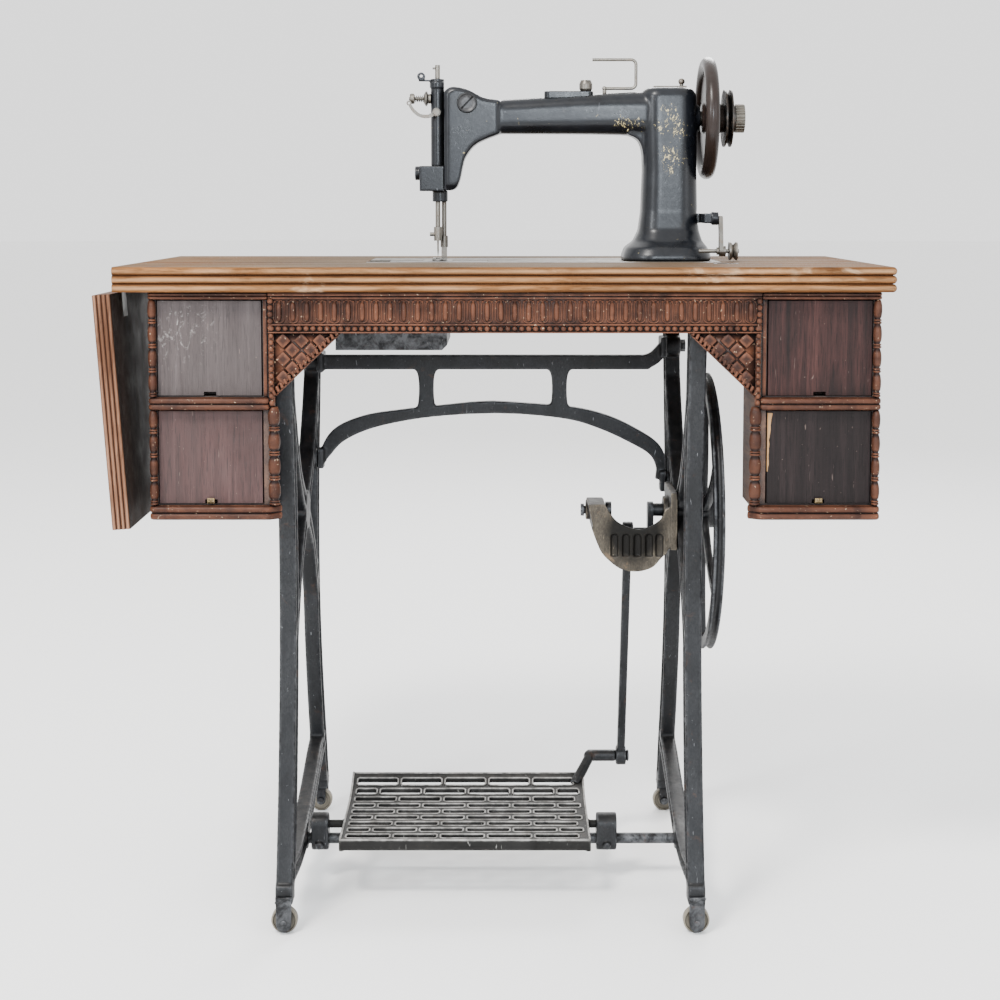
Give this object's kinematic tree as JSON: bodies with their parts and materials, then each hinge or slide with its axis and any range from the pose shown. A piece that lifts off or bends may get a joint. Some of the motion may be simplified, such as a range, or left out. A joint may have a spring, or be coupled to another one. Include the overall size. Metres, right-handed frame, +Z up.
{
  "type": "treadle sewing machine",
  "caption": "Foot-driven sewing machine: black cast head on a wooden table with drawers and a hanging leaf, over an iron stand with treadle, crank and drive wheel.",
  "frame": {"origin": "on the floor, under the middle of the whole object's box with the leaf hanging", "axes": "+Z up, +X to the right of the person working, -Y towards that person"},
  "size_m": [0.8875, 0.446, 1.0085],
  "materials": {
    "bright_steel": "dull, aged nickel",
    "carved_wood": "dark carved walnut with lighter beads",
    "dark_steel": "oily dark steel",
    "drawer_wood": "dark red-brown veneer, dusty",
    "japanned_iron": "worn satin black japan",
    "stand_iron": "worn black japan with grey iron showing on edges",
    "table_wood": "weathered varnished oak"
  },
  "bodies": {
    "frame": {"apron": "carved_wood", "arm_top_plate": "japanned_iron", "bed_plate": "japanned_iron", "belt_plate": "dark_steel", "carved_posts": "carved_wood", "caster_pins": "stand_iron", "corner_brackets": "carved_wood", "crank_hanger": "stand_iron", "cross_brace": "stand_iron", "drawer_cases": "drawer_wood", "drawer_rails": "carved_wood", "drip_pan": "stand_iron", "face_block": "japanned_iron", "frame_bolts": "stand_iron", "head_caps": "dark_steel", "head_casting": "japanned_iron", "head_screw": "bright_steel", "head_studs": "bright_steel", "hinge_plates": "dark_steel", "left_side_frame": "stand_iron", "needle_bar_guide": "japanned_iron", "needle_plate": "bright_steel", "right_side_frame": "stand_iron", "table_top": "table_wood", "tension_discs": "bright_steel", "tension_spring": "bright_steel", "treadle_bar": "stand_iron", "treadle_bearings": "stand_iron", "under_bed_works": "dark_steel", "winder_bracket": "japanned_iron"},
    "leaf": {"drop_leaf": "table_wood", "hinge_straps": "dark_steel"},
    "upper_left_drawer": {"upper_left_drawer": "drawer_wood"},
    "lower_left_drawer": {"lower_left_drawer": "drawer_wood"},
    "upper_right_drawer": {"upper_right_drawer": "drawer_wood"},
    "lower_right_drawer": {"lower_right_drawer": "drawer_wood"},
    "drive": {"drive_wheel": "stand_iron", "crank_shaft": "stand_iron", "crank_outer_web": "stand_iron", "wheel_nut": "stand_iron"},
    "treadle": {"treadle_plate": "stand_iron", "treadle_arm": "stand_iron"},
    "pitman": {"pitman": "stand_iron"},
    "hand_wheel": {"hand_wheel": "japanned_iron", "belt_pulley": "dark_steel", "main_shaft": "dark_steel"},
    "stop_nut": {"stop_nut": "bright_steel"},
    "needle_bar": {"needle_bar": "bright_steel"},
    "presser": {"presser_bar": "bright_steel", "presser_foot": "bright_steel"},
    "tension_nut": {"tension_nut": "bright_steel"},
    "take_up_lever": {"take_up_lever": "bright_steel"},
    "slide_plate": {"slide_plate": "bright_steel"},
    "spool_wire": {"spool_wire": "bright_steel"},
    "winder_arm": {"winder_arm": "bright_steel"},
    "winder_pulley": {"winder_pulley": "bright_steel"},
    "front_left_caster": {"front_left_caster": "stand_iron"},
    "front_right_caster": {"front_right_caster": "stand_iron"},
    "rear_left_caster": {"rear_left_caster": "stand_iron"},
    "rear_right_caster": {"rear_right_caster": "stand_iron"}
  },
  "joints": [
    {"name": "leaf_swing", "type": "hinge", "parent": "frame", "child": "leaf", "pos_m": [-0.4244, -0.008, 0.739], "axis": [0, 1, 0], "range_deg": [0, 94]},
    {"name": "upper_left_drawer_slide", "type": "slide", "parent": "frame", "child": "upper_left_drawer", "axis": [0, -1, 0], "range_m": [0, 0.12]},
    {"name": "lower_left_drawer_slide", "type": "slide", "parent": "frame", "child": "lower_left_drawer", "axis": [0, -1, 0], "range_m": [0, 0.12]},
    {"name": "upper_right_drawer_slide", "type": "slide", "parent": "frame", "child": "upper_right_drawer", "axis": [0, -1, 0], "range_m": [0, 0.12]},
    {"name": "lower_right_drawer_slide", "type": "slide", "parent": "frame", "child": "lower_right_drawer", "axis": [0, -1, 0], "range_m": [0, 0.12]},
    {"name": "drive_wheel_spin", "type": "hinge", "parent": "frame", "child": "drive", "pos_m": [0.2222, -0.008, 0.454], "axis": [1, 0, 0], "continuous": true},
    {"name": "treadle_rock", "type": "hinge", "parent": "frame", "child": "treadle", "pos_m": [0.0222, -0.038, 0.068], "axis": [1, 0, 0], "range_deg": [0, 22.5]},
    {"name": "pitman_pivot", "type": "hinge", "parent": "treadle", "child": "pitman", "pos_m": [0.1632, 0.1, 0.111], "axis": [1, 0, 0], "range_deg": [-27, 0]},
    {"name": "hand_wheel_spin", "type": "hinge", "parent": "frame", "child": "hand_wheel", "pos_m": [0.2602, 0.027, 0.934], "axis": [1, 0, 0], "continuous": true},
    {"name": "stop_nut_turn", "type": "hinge", "parent": "hand_wheel", "child": "stop_nut", "pos_m": [0.3002, 0.027, 0.934], "axis": [1, 0, 0], "range_deg": [-180, 180]},
    {"name": "needle_bar_slide", "type": "slide", "parent": "frame", "child": "needle_bar", "axis": [0, 0, 1], "range_m": [-0.01, 0.028]},
    {"name": "presser_lift", "type": "slide", "parent": "frame", "child": "presser", "axis": [0, 0, 1], "range_m": [0, 0.006], "stiffness_N_per_m": 600, "springref_m": -0.004},
    {"name": "tension_nut_turn", "type": "hinge", "parent": "frame", "child": "tension_nut", "pos_m": [-0.1018, 0.027, 0.958], "axis": [1, 0, 0], "range_deg": [-180, 180]},
    {"name": "take_up_swing", "type": "hinge", "parent": "frame", "child": "take_up_lever", "pos_m": [-0.0718, 0.014, 0.941], "axis": [0, 1, 0], "range_deg": [-8, 8]},
    {"name": "slide_plate_slide", "type": "slide", "parent": "frame", "child": "slide_plate", "axis": [-1, 0, 0], "range_m": [0, 0.024]},
    {"name": "spool_wire_swing", "type": "hinge", "parent": "frame", "child": "spool_wire", "pos_m": [0.1342, 0.027, 0.97], "axis": [0, 0, 1], "range_deg": [-90, 90]},
    {"name": "winder_tilt", "type": "hinge", "parent": "frame", "child": "winder_arm", "pos_m": [0.2622, -0.032, 0.812], "axis": [1, 0, 0], "range_deg": [-22, 4]},
    {"name": "winder_spin", "type": "hinge", "parent": "winder_arm", "child": "winder_pulley", "pos_m": [0.2852, -0.041, 0.773], "axis": [1, 0, 0], "continuous": true},
    {"name": "front_left_caster_roll", "type": "hinge", "parent": "frame", "child": "front_left_caster", "pos_m": [-0.2398, -0.203, 0.015], "axis": [0, 1, 0], "continuous": true},
    {"name": "front_right_caster_roll", "type": "hinge", "parent": "frame", "child": "front_right_caster", "pos_m": [0.2302, -0.203, 0.015], "axis": [0, 1, 0], "continuous": true},
    {"name": "rear_left_caster_roll", "type": "hinge", "parent": "frame", "child": "rear_left_caster", "pos_m": [-0.2398, 0.212, 0.015], "axis": [0, 1, 0], "continuous": true},
    {"name": "rear_right_caster_roll", "type": "hinge", "parent": "frame", "child": "rear_right_caster", "pos_m": [0.2302, 0.212, 0.015], "axis": [0, 1, 0], "continuous": true}
  ],
  "couplings": [
    {"joint": "pitman_pivot", "follows": "treadle_rock", "ratio": -1.2}
  ]
}
